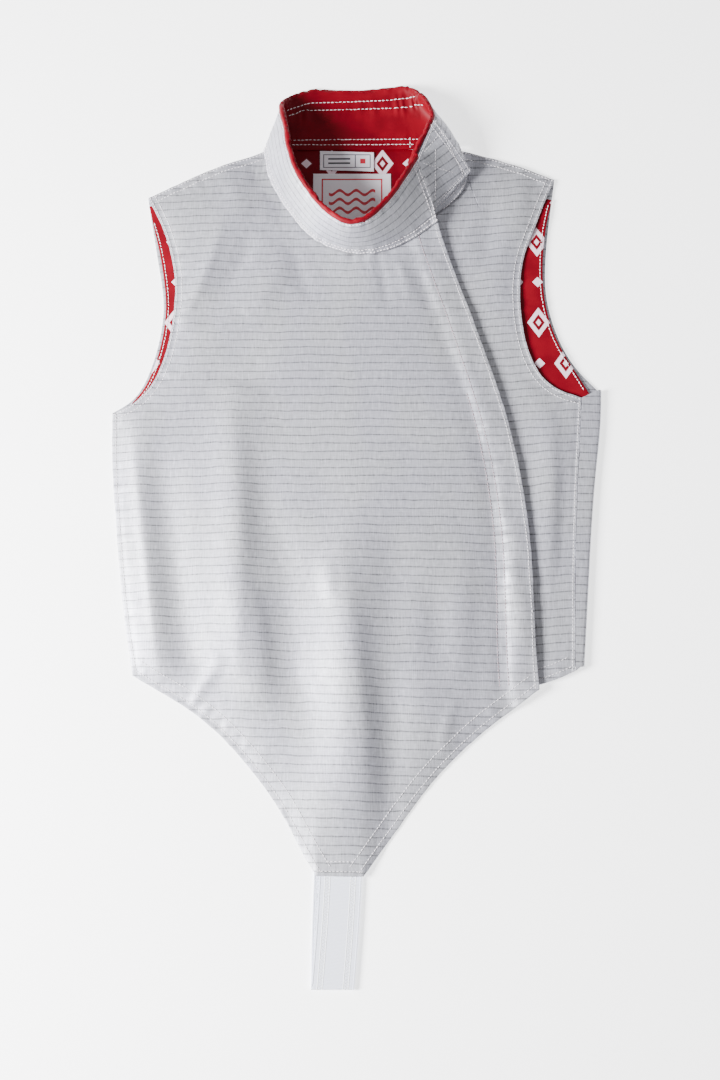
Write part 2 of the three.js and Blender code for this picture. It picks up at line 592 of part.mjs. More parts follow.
function makeStrap() {
  const radius = (STRAP.frontZ - STRAP.backZ) / 2;
  const foldY = STRAP.bottomY + radius + WEBBING / 2;
  const turns = 5;
  const centres = STRAP.backRows.map(({ x, y, z }) => new THREE.Vector3(x, y, z));
  for (let turn = 0; turn <= turns; turn += 1) {
    const angle = Math.PI * (turn / turns - 0.5);
    const z = STRAP.backZ + radius * (1 + Math.sin(angle));
    centres.push(new THREE.Vector3(STRAP.foldX, foldY - radius * Math.cos(angle), z));
  }
  STRAP.frontRows.forEach(({ x, y }) => centres.push(new THREE.Vector3(x, y, STRAP.frontZ)));
  const halves = [-1, 0, 1].map((side) => side * STRAP_WIDTH / 2);
  const grid = centres.map(({ x, y, z }) => halves.map((half) => new THREE.Vector3(x + half, y, z)));
  return clothWall([grid], WEBBING);
}

function cloth(color, roughness, metalness) {
  return new THREE.MeshStandardMaterial({ color, roughness, metalness });
}

const lame = new THREE.Group();

function add(name, geometry, material) {
  const mesh = new THREE.Mesh(geometry, material);
  mesh.name = name;
  lame.add(mesh);
}

add('back_panel', makeBack(), cloth(LAME_GREY, 0.45, 0.4));
add('back_lining', makeBackLining(), cloth(LINING_RED, 0.7, 0));
add('front_left', makeLeftFront(), cloth(LAME_GREY, 0.45, 0.4));
add('front_right', makeRightFront(), cloth(LAME_GREY, 0.45, 0.4));
add('collar', makeCollar(), cloth(LAME_GREY, 0.45, 0.4));
add('collar_lining', makeCollarLining(), cloth(LINING_RED, 0.7, 0));
add('collar_tab', makeTab(), cloth(LAME_GREY, 0.45, 0.4));
add('size_label', makeLabel(SIZE_LABEL), cloth(LABEL_WHITE, 0.6, 0));
add('neck_patch', makeLabel(NECK_PATCH), cloth(LABEL_WHITE, 0.6, 0));
add('crotch_strap', makeStrap(), cloth(WEBBING_WHITE, 0.8, 0));

export default lame;
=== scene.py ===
import math
import random
from collections import namedtuple

import bmesh
import bpy
import numpy as np
from mathutils import Matrix, Vector, noise
from mathutils.bvhtree import BVHTree


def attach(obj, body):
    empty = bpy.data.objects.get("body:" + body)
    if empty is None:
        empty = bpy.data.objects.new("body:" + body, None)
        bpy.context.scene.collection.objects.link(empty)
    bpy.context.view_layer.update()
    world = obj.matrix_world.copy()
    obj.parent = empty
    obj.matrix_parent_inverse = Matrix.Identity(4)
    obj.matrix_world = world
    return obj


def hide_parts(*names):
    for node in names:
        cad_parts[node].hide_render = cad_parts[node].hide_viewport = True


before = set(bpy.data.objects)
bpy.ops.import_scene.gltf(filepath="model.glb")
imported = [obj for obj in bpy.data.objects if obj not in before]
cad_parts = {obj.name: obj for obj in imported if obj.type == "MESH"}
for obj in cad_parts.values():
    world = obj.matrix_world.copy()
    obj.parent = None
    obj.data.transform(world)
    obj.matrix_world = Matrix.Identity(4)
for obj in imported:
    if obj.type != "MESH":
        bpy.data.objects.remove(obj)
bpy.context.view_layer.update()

MM = 0.001


# View and light
# The garment lies front up on a pale floor, which glows so that it shows white. The camera looks
# down on it from almost overhead, a little from the hem's side. One soft light stands at the left,
# with a weak one opposite.

TIP = math.radians(12)
VIEW_DISTANCE = 1.35
LOOK_AT = Vector((0.0026, -0.0255, 0.0))
LENS = 52.14
SENSOR_WIDTH = 36
ROOM_LIGHT = 0.42
FLOOR_Z = -0.3 * MM
FLOOR_HALF_SIZE = 40
FLOOR_COLOR = (0.95, 0.95, 0.955, 1.0)
FLOOR_GLOW = 2.0


def add_to_scene(thing):
    bpy.context.scene.collection.objects.link(thing)


def add_node(tree, kind, inputs=None, **settings):
    """Adds a shader node. An input is a value, or a socket to join to it."""
    made = tree.nodes.new("ShaderNode" + kind)
    for name, value in settings.items():
        setattr(made, name, value)
    for name, value in (inputs or {}).items():
        if isinstance(value, bpy.types.NodeSocket):
            tree.links.new(value, made.inputs[name])
        else:
            made.inputs[name].default_value = value
    return made


def calculate(tree, operation, first, second=0.0, third=0.0):
    """A Math node's result."""
    made = add_node(tree, "Math", {0: first, 1: second, 2: third}, operation=operation)
    return made.outputs[0]


def new_material(name, **finish):
    """A material with one Principled shader, its plain values set on its own sockets."""
    material = bpy.data.materials.new(name)
    material.use_nodes = True
    shader = material.node_tree.nodes["Principled BSDF"]
    for socket, value in finish.items():
        shader.inputs[socket.replace("_", " ")].default_value = value
    return material, material.node_tree, shader


def soft_light(name, place, size, power):
    """A square area light, turned towards the middle of the garment."""
    data = bpy.data.lights.new(name, "AREA")
    data.shape = "SQUARE"
    data.size = size
    data.energy = power
    light = bpy.data.objects.new(name, data)
    light.location = place
    light.rotation_euler = (Vector(place) - LOOK_AT).to_track_quat("Z", "Y").to_euler()
    add_to_scene(light)


away = Vector((0, -math.sin(TIP), math.cos(TIP)))
camera = bpy.data.objects.new("camera", bpy.data.cameras.new("camera"))
camera.data.lens = LENS
camera.data.sensor_width = SENSOR_WIDTH
camera.location = LOOK_AT + away * VIEW_DISTANCE
camera.rotation_euler = away.to_track_quat("Z", "Y").to_euler()
add_to_scene(camera)
bpy.context.scene.camera = camera

soft_light("key_light", place=(-1.25, -0.3, 0.8), size=0.6, power=142)
soft_light("fill_light", place=(1.2, 0.9, 1.6), size=1.6, power=4)

world = bpy.data.worlds.new("room")
world.use_nodes = True
background = world.node_tree.nodes["Background"]
background.inputs["Color"].default_value = (1.0, 1.0, 1.0, 1.0)
background.inputs["Strength"].default_value = ROOM_LIGHT
bpy.context.scene.world = world

floor_bm = bmesh.new()
bmesh.ops.create_grid(floor_bm, x_segments=1, y_segments=1, size=FLOOR_HALF_SIZE)
bmesh.ops.translate(floor_bm, verts=floor_bm.verts, vec=(0, 0, FLOOR_Z))
floor = bpy.data.objects.new("floor", bpy.data.meshes.new("floor"))
floor_bm.to_mesh(floor.data)
floor_bm.free()
add_to_scene(floor)
paper, _, _ = new_material(
    "floor_paper", Base_Color=FLOOR_COLOR, Roughness=0.9, Emission_Color=FLOOR_COLOR,
    Emission_Strength=FLOOR_GLOW)
floor.data.materials.append(paper)


# Back
# The back is one piece of metallic cloth, shoulders to waist. At the wearer's left it wraps round
# on to the front as a narrow strip. All metallic pieces are woven steel and copper thread on
# polyester, with a darker thread every 7 mm.

CLOTH = 1.2 * MM
UP = (0, 0, 1)
DOWN = (0, 0, -1)
TOUCHING = 1e-5
SHARP = math.radians(50)
CORNER = math.radians(35)
JOIN_ANGLE = math.radians(60)
NEEDLE = 0.1 * MM


def longest_edge(face):
    return max(face.edges, key=lambda edge: edge.calc_length())


def join_needles(bm):
    """Joins each needle-thin triangle in a flat stretch to the face beyond its longest edge."""
    joins = []
    for face in bm.faces:
        longest = longest_edge(face)
        around = [other for edge in face.edges for other in edge.link_faces if other is not face]
        flat = all(around[0].normal.angle(other.normal, 0) < SHARP for other in around)
        if len(face.verts) == 3 and flat and face.calc_area() < NEEDLE * longest.calc_length():
            joins.append(longest)
    bmesh.ops.dissolve_edges(bm, edges=joins)


def one_side(node, towards):
    """The side of a piece's cloth wall that shows: the one whose largest face looks that way."""
    bm = bmesh.new()
    bm.from_mesh(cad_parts[node].data)
    bmesh.ops.remove_doubles(bm, verts=bm.verts, dist=TOUCHING)
    bmesh.ops.join_triangles(
        bm, faces=bm.faces, angle_face_threshold=JOIN_ANGLE, angle_shape_threshold=math.pi,
        topology_influence=1.4)
    bm.normal_update()
    join_needles(bm)
    seed = max(bm.faces, key=lambda face: face.calc_area() * face.normal.dot(Vector(towards)))
    side, waiting = {seed}, [seed]
    while waiting:
        for edge in waiting.pop().edges:
            if edge.calc_face_angle(0) < SHARP:
                fresh = [face for face in edge.link_faces if face not in side]
                side.update(fresh)
                waiting.extend(fresh)
    bmesh.ops.delete(bm, geom=[face for face in bm.faces if face not in side], context="FACES")
    longest = dict.fromkeys(longest_edge(face) for face in bm.faces if len(face.verts) == 3)
    bmesh.ops.dissolve_edges(bm, edges=[edge for edge in longest if not edge.is_boundary])
    return bm


def outline_of(bm):
    """Vertices round an open sheet's edge, in order, with the cloth on the left of the way round."""
    follows = {}
    for edge in bm.edges:
        if edge.is_boundary:
            loop = edge.link_loops[0]
            follows[loop.vert] = loop.link_loop_next.vert
    start = next(iter(follows))
    order = [start]
    while follows[order[-1]] is not start:
        order.append(follows[order[-1]])
    return order


def smoothed(bm, name, levels):
    """A finished sheet: the coarse one, subdivided, its outline's corners kept."""
    corner_crease = bm.verts.layers.float.new("crease_vert")
    outline = outline_of(bm)
    for before, vert, after in zip(outline[-1:] + outline, outline, outline[1:] + outline[:1]):
        turn = (vert.co - before.co).angle(after.co - vert.co)
        vert[corner_crease] = 1.0 if turn > CORNER else 0.0
    sheet = bpy.data.objects.new(name, bpy.data.meshes.new(name))
    bm.to_mesh(sheet.data)
    bm.free()
    add_to_scene(sheet)
    subdivision = sheet.modifiers.new("subdivision", "SUBSURF")
    subdivision.levels = subdivision.render_levels = levels
    evaluated = sheet.evaluated_get(bpy.context.evaluated_depsgraph_get())
    fine = bpy.data.meshes.new_from_object(evaluated)
    sheet.modifiers.clear()
    sheet.data = fine
    fine.shade_smooth()
    return sheet


def points_of(sheet):
    """A sheet's vertices as rows of x, y and z."""
    points = np.empty(len(sheet.data.vertices) * 3)
    sheet.data.vertices.foreach_get("co", points)
    return points.reshape(-1, 3)


def normals_of(sheet):
    """The directions in which a sheet's vertices face."""
    normals = np.empty(len(sheet.data.vertices) * 3)
    sheet.data.vertices.foreach_get("normal", normals)
    return normals.reshape(-1, 3)


def move_points(sheet, points):
    """Puts a sheet's vertices at new places."""
    sheet.data.vertices.foreach_set("co", points.ravel())
    sheet.data.update()


def stand_out(sheet, lifts):
    """Moves a sheet's points along the directions in which they face."""
    points = points_of(sheet)
    move_points(sheet, points + normals_of(sheet) * lifts[:, None])


ROW_STEP = 2.5 * MM
MEASURE_EVERY = 3


def lengths_along(line):
    """How far along a line each of its points lies."""
    return np.concatenate(([0], np.cumsum(np.linalg.norm(np.diff(line, axis=0), axis=1))))


def read_at(lengths, along, rows):
    """What rows of x, y and z that belong to places along a line come to at other lengths."""
    return np.stack([np.interp(lengths, along, rows[:, axis]) for axis in range(3)], axis=1)


def edge_rows(sheet, **ends):
    """Stretches of a sheet's outline by name, each between two places in mm, as points and the
    directions that lead from them into the cloth. A place given without a height lies at 0."""
    bm = bmesh.new()
    bm.from_mesh(sheet.data)
    outline = [(vert.co.copy(), vert.normal.copy()) for vert in outline_of(bm)]
    bm.free()
    rows = {}
    for name, (start, end) in ends.items():
        near = []
        for place in (start, end):
            corner = Vector((*place, 0)[:3]) * MM
            near.append(min(range(len(outline)), key=lambda index: (outline[index][0] - corner).length))
        count = (near[1] - near[0]) % len(outline)
        part = [outline[(near[0] + step) % len(outline)] for step in range(count + 1)]
        places = np.array([place for place, _ in part])
        facing = np.array([normal for _, normal in part])
        along = lengths_along(places)
        even = np.linspace(0, along[-1], max(int(along[-1] / ROW_STEP), 2) + 1)
        places, facing = read_at(even, along, places), read_at(even, along, facing)
        inwards = np.cross(facing, np.gradient(places, axis=0))
        inwards /= np.linalg.norm(inwards, axis=1)[:, None]
        rows[name] = (places, inwards)
    return rows


def inside(row, distance, first=0.0, last=0.0, end_distance=None):
    """A line in the cloth, that many mm inside a stretch of its outline, its ends cut back."""
    places, inwards = row
    distances = np.linspace(distance, distance if end_distance is None else end_distance, len(places))
    start, end = (round(cut * MM / ROW_STEP) for cut in (first, last))
    return (places + inwards * distances[:, None] * MM)[start:len(places) - end]


def seams(rows, **distances):
    """Lines of stitches, those many mm inside each named stretch of an outline."""
    return [inside(rows[name], distance) for name, row in distances.items() for distance in row]


def measure(points, line):
    """How far each point is from a line, and how far along it."""
    nearest = np.full(len(points), np.inf)
    along = np.zeros(len(points))
    reached = 0.0
    knots = np.unique(np.append(np.arange(0, len(line), MEASURE_EVERY), len(line) - 1))
    for start, end in zip(line[knots], line[knots[1:]]):
        span = end - start
        length = np.linalg.norm(span)
        share = np.clip((points - start) @ span / length ** 2, 0, 1)
        away = np.linalg.norm(points - start - share[:, None] * span, axis=1)
        closer = away < nearest
        nearest[closer] = away[closer]
        along[closer] = (reached + share * length)[closer]
        reached += length
    return nearest / MM, along / MM


def bell(distance, width):
    """1 at no distance, dying away softly over about that width."""
    return np.exp(-((distance / width) ** 2))


FOLD_DEPTH = 1.5
FOLD_ENDS = 0.7
NOISE_STEPS = np.array((17.3, 5.1, 9.7))
FAINT = 0.02

Crease = namedtuple("Crease", "top bottom bow west east height")


def crease_lift(points, creases):
    """Height added by creases. Each is a soft ridge, or a trough where its height is below zero, on
    a bowed line from its top to its bottom, wider or narrower on its west and its east side. It
    dies away towards its ends."""
    lift = np.zeros(len(points))
    for crease in creases:
        top, bottom = np.array(crease.top), np.array(crease.bottom)
        span = bottom - top
        length = np.linalg.norm(span)
        offset = points[:, :2] / MM - top
        share = np.clip(offset @ span / length ** 2, 0, 1)
        east = (span[0] * offset[:, 1] - span[1] * offset[:, 0]) / length
        east -= crease.bow * 4 * share * (1 - share)
        width = np.where(east > 0, crease.east, crease.west)
        fade = np.sin(share * math.pi) ** FOLD_ENDS
        lift += FOLD_DEPTH * crease.height * MM * fade * bell(east, width)
    return lift


def wobble(points, size, seed, stretch=(1, 1, 1)):
    """Soft noise from -1 to 1 at each point, its bumps about that many mm across."""
    scaled = points * np.array(stretch) / (size * MM) + seed * NOISE_STEPS
    return np.array([noise.noise(Vector(place)) for place in scaled])


def shift(points, size, amount, seed):
    """Moves points sideways a little, unevenly, as cut and sewn cloth never lies quite true."""
    for axis in (0, 1):
        points[:, axis] += amount * MM * wobble(points, size, seed + axis)


def pull(points, place, reach, move):
    """Draws the cloth round one place, given in mm, the way that move says."""
    near = bell(np.linalg.norm(points - np.array(place) * MM, axis=1), reach * MM)
    points += near[:, None] * np.array(move) * MM


def puckers(points, line, reach, depth, seed, pitch):
    """Height added by the small gathers beside a row of stitches, each about a pitch wide."""
    distance, along = measure(points, line)
    near = bell(distance, reach)
    close = near > FAINT
    phase = np.stack(
        [along[close] / pitch, distance[close] / (pitch * 4), np.full(close.sum(), seed)], axis=1)
    gathers = np.zeros(len(points))
    gathers[close] = [noise.noise(Vector(place)) for place in phase]
    return gathers * near * depth * MM


def groove(points, line, width, depth):
    """Height taken away where a row of stitches pulls the cloth down."""
    distance, _ = measure(points, line)
    return -depth * MM * bell(distance, width)


def lay_pattern(sheet, across, along):
    """Writes the cloth's own coordinates, in metres, that its weave and stripes follow."""
    loops = np.empty(len(sheet.data.loops), int)
    sheet.data.loops.foreach_get("vertex_index", loops)
    layer = sheet.data.uv_layers.new(name="cloth")
    layer.data.foreach_set("uv", np.stack([across, along], axis=1)[loops].ravel())


def make_wall(sheet, thickness, material):
    """Gives a sheet its thickness, behind the side that shows, with softly folded edges."""
    sheet.data.materials.clear()
    sheet.data.materials.append(material)
    wall = sheet.modifiers.new("thickness", "SOLIDIFY")
    wall.thickness = thickness
    wall.offset = -1
    rounding = sheet.modifiers.new("folded_edges", "BEVEL")
    rounding.width = thickness * 0.3
    rounding.segments = 2
    rounding.limit_method = "ANGLE"
    rounding.angle_limit = SHARP


STITCH_PITCH = 3.1 * MM
STITCH_THICKNESS = 0.4 * MM
STITCH_SKEW = 0.09
STITCH_HALF_LENGTHS = (0.36, 0.46)
STITCH_THICKNESSES = (0.8, 1.15)
STITCH_HEIGHT = 0.8
STITCH_RISE = 0.35


def surface_of(thing):
    """A mesh's faces, as a tree in which the nearest place or the end of a ray is found."""
    mesh = thing.data
    return BVHTree.FromPolygons(
        [vert.co for vert in mesh.vertices], [polygon.vertices for polygon in mesh.polygons])


def sew(name, sheet, lines, material, seed, pitch=STITCH_PITCH, thickness=STITCH_THICKNESS):
    """A stitch at each pitch along each line, lying on a sheet. No two are quite alike."""
    surface = surface_of(sheet)
    uneven = random.Random(seed)
    bead = bmesh.new()
    bmesh.ops.create_uvsphere(bead, u_segments=6, v_segments=4, radius=1)
    bead_points = np.array([vert.co for vert in bead.verts])
    bead_faces = [[vert.index for vert in face.verts] for face in bead.faces]
    bead.free()
    points, faces = [], []
    for line in lines:
        along = lengths_along(line)
        ends = np.linspace(0, along[-1], int(along[-1] / pitch) + 1)
        spots = [Vector(spot) for spot in read_at(ends, along, line)]
        for start, end in zip(spots, spots[1:]):
            place, facing, _, _ = surface.find_nearest((start + end) / 2)
            ahead = end - start
            ahead = (ahead - facing * ahead.dot(facing)).normalized()
            ahead.rotate(Matrix.Rotation(uneven.uniform(-STITCH_SKEW, STITCH_SKEW), 3, facing))
            half_length = pitch * uneven.uniform(*STITCH_HALF_LENGTHS)
            radius = thickness * uneven.uniform(*STITCH_THICKNESSES)
            aside = facing.cross(ahead)
            axes = np.array((aside * radius, facing * radius * -STITCH_HEIGHT, ahead * half_length))
            faces += [[len(points) * len(bead_points) + index for index in face] for face in bead_faces]
            points.append(bead_points @ axes + np.array(place + facing * radius * STITCH_RISE))
    stitching = bpy.data.objects.new(name, bpy.data.meshes.new(name))
    stitching.data.from_pydata(np.concatenate(points), [], faces)
    stitching.data.shade_smooth()
    stitching.data.materials.append(material)
    add_to_scene(stitching)
    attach(stitching, "root")
    return stitching


def weave_coordinates(tree, width_scale, length_scale):
    """The cloth's own coordinates, times a scale for each direction, per mm."""
    cloth = add_node(tree, "UVMap", uv_map="cloth")
    scaled = add_node(tree, "Mapping", {
        "Vector": cloth.outputs["UV"], "Scale": (width_scale / MM, length_scale / MM, 1)})
    return scaled.outputs["Vector"]


def place_on_cloth(tree):
    """How far across and how far along the cloth a place is, in mm."""
    place = add_node(tree, "SeparateXYZ", {"Vector": weave_coordinates(tree, 1, 1)})
    return place.outputs["X"], place.outputs["Y"]


def noise_value(tree, width_scale, length_scale, detail):
    """Soft noise over the cloth, from about 0 to 1, with that many bumps for each mm."""
    made = add_node(tree, "TexNoise", {
        "Vector": weave_coordinates(tree, width_scale, length_scale), "Scale": 1.0, "Detail": detail},
        noise_dimensions="2D")
    return made.outputs["Fac"]


def remap(tree, value, low, high, new_low, new_high):
    """Carries the stretch from low to high over to a new one, softly at its ends."""
    made = add_node(tree, "MapRange", {
        "Value": value, "From Min": low, "From Max": high, "To Min": new_low, "To Max": new_high},
        interpolation_type="SMOOTHSTEP")
    return made.outputs["Result"]


def vary(tree, value, noise_socket, amount):
    """A value raised and lowered by noise that lies round 0.5."""
    return calculate(tree, "MULTIPLY_ADD", calculate(tree, "SUBTRACT", noise_socket, 0.5), amount, value)


def mix_colors(tree, share, first, second):
    """The first colour, going over to the second as the share goes from 0 to 1."""
    made = add_node(tree, "Mix", {"Factor": share, "A": first, "B": second}, data_type="RGBA")
    return made.outputs["Result"]


def fine_relief(tree, shader, height, strength, depth):
    """Lets a height show in how the surface takes the light. The depth is in mm."""
    bump = add_node(tree, "Bump", {"Height": height, "Strength": strength, "Distance": depth * MM})
    tree.links.new(bump.outputs["Normal"], shader.inputs["Normal"])


STRIPE_PITCH = 7.3
STRIPE_WANDER = 2.6
STRIPE_HALF_WIDTH = (0.28, 0.85)
STRIPE_CONTRAST = -0.54
THREAD_CONTRAST = 0.66
PICK_CONTRAST = 0.40
FLECK_CONTRAST = 0.14
SILVER_COOL = (0.40, 0.40, 0.455, 1)
SILVER_WARM = (0.425, 0.427, 0.465, 1)


def metallic_cloth():
    """Silver cloth: fine upright threads, light flecks, and a thin dark thread across every 7 mm."""
    material, tree, shader = new_material("lame_cloth", Metallic=0.45, Roughness=0.48)
    _, along = place_on_cloth(tree)
    wander = noise_value(tree, 0.035, 0.02, detail=3)
    turns = calculate(tree, "DIVIDE", vary(tree, along, wander, STRIPE_WANDER), STRIPE_PITCH)
    from_stripe = calculate(tree, "MULTIPLY", calculate(tree, "PINGPONG", turns, 0.5), STRIPE_PITCH)
    stripe = remap(tree, from_stripe, *STRIPE_HALF_WIDTH, 1, 0)
    dots = noise_value(tree, 0.5, 0.15, detail=3)
    stripe = calculate(tree, "MULTIPLY", stripe, remap(tree, dots, 0.32, 0.62, 0.7, 1.0))
    threads = noise_value(tree, 1.1, 0.08, detail=3)
    picks = noise_value(tree, 0.09, 1.2, detail=3)
    flecks = noise_value(tree, 0.28, 0.2, detail=4)
    patches = noise_value(tree, 0.016, 0.011, detail=2)
    tone = vary(tree, 1.0, threads, THREAD_CONTRAST)
    tone = vary(tree, tone, picks, PICK_CONTRAST)
    tone = calculate(tree, "MULTIPLY_ADD", remap(tree, flecks, 0.5, 0.75, 0, 1), FLECK_CONTRAST, tone)
    tone = calculate(tree, "MULTIPLY_ADD", stripe, STRIPE_CONTRAST, tone)
    silver = mix_colors(tree, remap(tree, patches, 0.35, 0.65, 0, 1), SILVER_COOL, SILVER_WARM)
    toned = add_node(tree, "VectorMath", {0: silver, "Scale": tone}, operation="SCALE")
    tree.links.new(toned.outputs["Vector"], shader.inputs["Base Color"])
    height = calculate(tree, "MULTIPLY_ADD", threads, 0.7, calculate(tree, "MULTIPLY", picks, 0.5))
    height = calculate(tree, "MULTIPLY_ADD", stripe, -0.35, height)
    fine_relief(tree, shader, height, strength=0.35, depth=0.25)
    return material


lame_cloth = metallic_cloth()
thread, _, _ = new_material("pale_thread", Base_Color=(0.66, 0.63, 0.66, 1), Roughness=0.45)

back = smoothed(one_side("back_panel", DOWN), "back", levels=3)
back_rows = edge_rows(
    back,
    hem=((190, -135.6), (-189, -141.8)),
    armhole_right=((-214.6, 87.8), (-188.8, 289.6)),
    armhole_left=((178.7, 307.6), (211.9, 108.2)),
)
points = points_of(back)
lay_pattern(back, points[:, 0], points[:, 1])
back_seams = [
    inside(row, distance, first=4, last=4) for row in back_rows.values() for distance in (3, 9)]
stand_out(back, sum(groove(points, line, width=2.0, depth=0.5) for line in back_seams))
make_wall(back, CLOTH, lame_cloth)
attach(back, "root")
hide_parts("back_panel")
back_stitching = sew("back_stitching", back, back_seams, thread, seed=2)


# Back lining
# Red polyester, sewn inside the back. It shows through the neck and both armholes, where a white
# row of stitches runs along its edge. It carries a plain print of diamonds.

LINING = 1.0 * MM
NEAR = 0.2 * MM
LINING_TIP = (-186.3, 269.6, 1.6)
TIP_PULL = (-1.5, 12, 0)
PRINT_WIDTH = 46.0
PRINT_HEIGHT = 38.0
DIAMOND_HALF_WIDTH = 10.0
DIAMOND_HALF_HEIGHT = 14.0
DIAMOND_EDGE = (0.97, 1.03)
HOLE_EDGE = (0.53, 0.59)
HEART_EDGE = (0.22, 0.27)
SPOT_EDGE = (4.6, 5.0)
DARK_RED = (0.125, 0.0, 0.005, 1)
LIGHT_RED = (0.17, 0.0, 0.007, 1)
PRINT_COLOR = (0.80, 0.62, 0.70, 1)


def from_cell_middle(tree, value, cell):
    """How far a place is from the middle of its own cell of the print, in mm."""
    share = calculate(tree, "FRACT", calculate(tree, "DIVIDE", value, cell))
    middle = calculate(tree, "MULTIPLY", calculate(tree, "SUBTRACT", share, 0.5), cell)
    return calculate(tree, "ABSOLUTE", middle)


def red_lining(name, printed):
    """Thin red cloth with a soft shine, plain or printed with pale diamonds."""
    material, tree, shader = new_material(name, Roughness=0.55, Specular_IOR_Level=0.12)
    ribs = noise_value(tree, 2.2, 0.4, detail=2)
    patches = noise_value(tree, 0.03, 0.05, detail=3)
    color = mix_colors(tree, remap(tree, patches, 0.3, 0.7, 0, 1), DARK_RED, LIGHT_RED)
    if printed:
        across, along = place_on_cloth(tree)
        row = calculate(tree, "FLOOR", calculate(tree, "DIVIDE", along, PRINT_HEIGHT))
        every_other = calculate(tree, "PINGPONG", row, 1.0)
        moved = calculate(tree, "MULTIPLY_ADD", every_other, PRINT_WIDTH / 2, across)
        wide = from_cell_middle(tree, moved, PRINT_WIDTH)
        high = from_cell_middle(tree, along, PRINT_HEIGHT)
        reach = calculate(tree, "ADD", calculate(tree, "DIVIDE", wide, DIAMOND_HALF_WIDTH),
                          calculate(tree, "DIVIDE", high, DIAMOND_HALF_HEIGHT))
        diamond = calculate(tree, "SUBTRACT", remap(tree, reach, *DIAMOND_EDGE, 1, 0),
                            remap(tree, reach, *HOLE_EDGE, 1, 0))
        from_side = calculate(tree, "SUBTRACT", PRINT_WIDTH / 2, wide)
        spot = remap(tree, calculate(tree, "ADD", from_side, high), *SPOT_EDGE, 1, 0)
        ink = calculate(tree, "MAXIMUM", calculate(tree, "MAXIMUM", diamond, spot),
                        remap(tree, reach, *HEART_EDGE, 1, 0))
        color = mix_colors(tree, ink, color, PRINT_COLOR)
    tree.links.new(color, shader.inputs["Base Color"])
    fine_relief(tree, shader, ribs, strength=0.25, depth=0.2)
    return material


def room(points, upwards, *things):
    """How far each point may rise, or sink, before it meets one of those things or the ground."""
    found = np.full(len(points), np.inf) if upwards else points[:, 2].copy()
    for thing in things:
        surface = surface_of(thing)
        way = Vector(UP if upwards else DOWN)
        hits = [surface.ray_cast(Vector(place), way)[3] for place in points]
        found = np.minimum(found, [np.inf if hit is None else hit for hit in hits])
    return found


def settle(points, sheet, thickness, under, over):
    """Keeps a sheet's new points clear of what lies under and over it."""
    before = points_of(sheet)
    lowest = before[:, 2] - room(before, False, *under) + thickness + NEAR
    highest = before[:, 2] + room(before, True, *over) - NEAR
    points[:, 2] = np.maximum(np.minimum(points[:, 2], highest), lowest)


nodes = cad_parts
printed_lining = red_lining("printed_lining", printed=True)
plain_lining = red_lining("plain_lining", printed=False)

back_lining = smoothed(one_side("back_lining", UP), "back_lining_cloth", levels=3)
lining_rows = edge_rows(
    back_lining,
    armhole_left=((205, 107), (176.2, 287.6)),
    armhole_right=((-186.3, 269.6), (-207.5, 85.5)),
)
lining_top = edge_rows(back_lining, top=((176.2, 287.6), (-186.3, 269.6)))["top"][0]
points = points_of(back_lining)
lay_pattern(back_lining, points[:, 0], points[:, 1])
broad_wrinkles = 0.6 * (1 + wobble(points, size=34, seed=3, stretch=(1, 0.45, 1)))
fine_wrinkles = 0.3 * (1 + wobble(points, size=13, seed=4, stretch=(1, 0.6, 1)))
wrinkles = (broad_wrinkles + fine_wrinkles) * MM
for row in lining_rows.values():
    wrinkles += np.abs(puckers(points, inside(row, 4), reach=7, depth=1.2, seed=5, pitch=7))
wrinkles *= 1 - bell(measure(points, lining_top)[0], 9)
points[:, 2] += wrinkles
settle(points, back_lining, LINING, under=[nodes["back_panel"]],
       over=[nodes[name] for name in ("front_right", "front_left", "size_label", "neck_patch")])
pull(points, LINING_TIP, reach=13, move=TIP_PULL)
move_points(back_lining, points)
make_wall(back_lining, LINING, printed_lining)
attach(back_lining, "root")
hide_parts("back_lining")

white_thread, _, _ = new_material("white_thread", Base_Color=(0.86, 0.80, 0.84, 1), Roughness=0.5)
back_lining_stitching = sew(
    "back_lining_stitching", back_lining,
    [inside(row, 2.4, first=4, last=4) for row in lining_rows.values()], white_thread, seed=11)


# Left front
# The wearer's left front, of metallic cloth, lies under the right one. It is sewn to the back at
# the shoulder and to the back's wrapped strip at the side, and its armhole is turned in and sewn.

STRIPE_TILT = 0.055
TILTED_ROUND = 0.15
LEFT_NECK_TIP = (70, 271, 5)

left_front = smoothed(one_side("front_left", UP), "left_front", levels=3)
left_rows = edge_rows(
    left_front,
    hem=((122, -157), (184.5, -139.8)),
    side=((184.5, -139.8), (197, 101.4)),
    armhole=((197, 101.4), (178.7, 307.6)),
    shoulder=((178.7, 307.6), (89, 337.2)),
)
left_creases = [
    Crease((150, 330), (138, 240), 4, 9, 9, 1.0),
    Crease((124, 305), (118, 215), -3, 11, 11, -1.1),
    Crease((168, 95), (160, -70), 3, 16, 8, 1.3),
    Crease((180, 40), (176, -120), 0, 8, 8, -0.8),
    Crease((142, 122), (178, 104), 2, 6, 6, -0.6),
    Crease((150, -40), (146, -140), 2, 10, 10, -0.7),
    Crease((186, 280), (166, 262), 1, 4, 4, -0.5),
    Crease((102, 300), (82, 250), 3, 8, 7, -1.6),
]
points = points_of(left_front)
lay_pattern(left_front, points[:, 0], points[:, 1] - STRIPE_TILT * (points[:, 0] - TILTED_ROUND))
points[:, 2] += crease_lift(points, left_creases)
for row in left_rows.values():
    points[:, 2] += puckers(points, inside(row, 4), reach=9, depth=1.1, seed=21, pitch=8)
    points[:, 2] += groove(points, inside(row, 3.2), width=2.2, depth=0.4)
points[:, 2] += 0.25 * MM * wobble(points, size=28, seed=6, stretch=(1, 0.4, 1))
